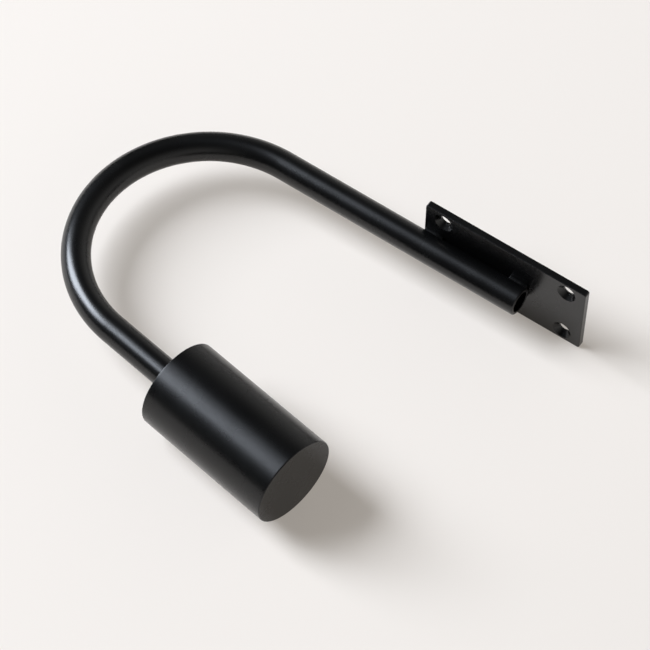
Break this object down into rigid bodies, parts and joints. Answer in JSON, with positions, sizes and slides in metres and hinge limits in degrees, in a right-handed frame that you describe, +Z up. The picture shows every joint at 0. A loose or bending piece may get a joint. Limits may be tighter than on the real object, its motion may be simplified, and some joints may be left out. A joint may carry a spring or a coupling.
{
  "type": "curtain tieback",
  "caption": "U-shaped wall hook of bent round tube, welded to a flat screw plate, with a cylindrical finial that keeps a drawn-back curtain inside the bend.",
  "frame": {"origin": "centre of the wall plate's back face, which lies against the wall", "axes": "+X along the plate towards the tube's cut end, +Y into the wall, +Z up; the hook stands out towards -Y with its bend at -X"},
  "size_m": [0.1963, 0.1462, 0.038],
  "materials": {
    "black_coat_on_steel": "satin black powder coat on steel",
    "black_coat_on_aluminium": "satin black powder coat on turned aluminium",
    "zinc_plated_steel": "bright zinc plate"
  },
  "bodies": {
    "root": {"hook_tube": "black_coat_on_steel", "wall_plate": "black_coat_on_steel", "weld_upper_outer": "black_coat_on_steel", "weld_upper_inner": "black_coat_on_steel", "weld_lower_outer": "black_coat_on_steel", "weld_lower_inner": "black_coat_on_steel", "finial": "black_coat_on_aluminium", "finial_stud": "zinc_plated_steel"}
  },
  "joints": []
}
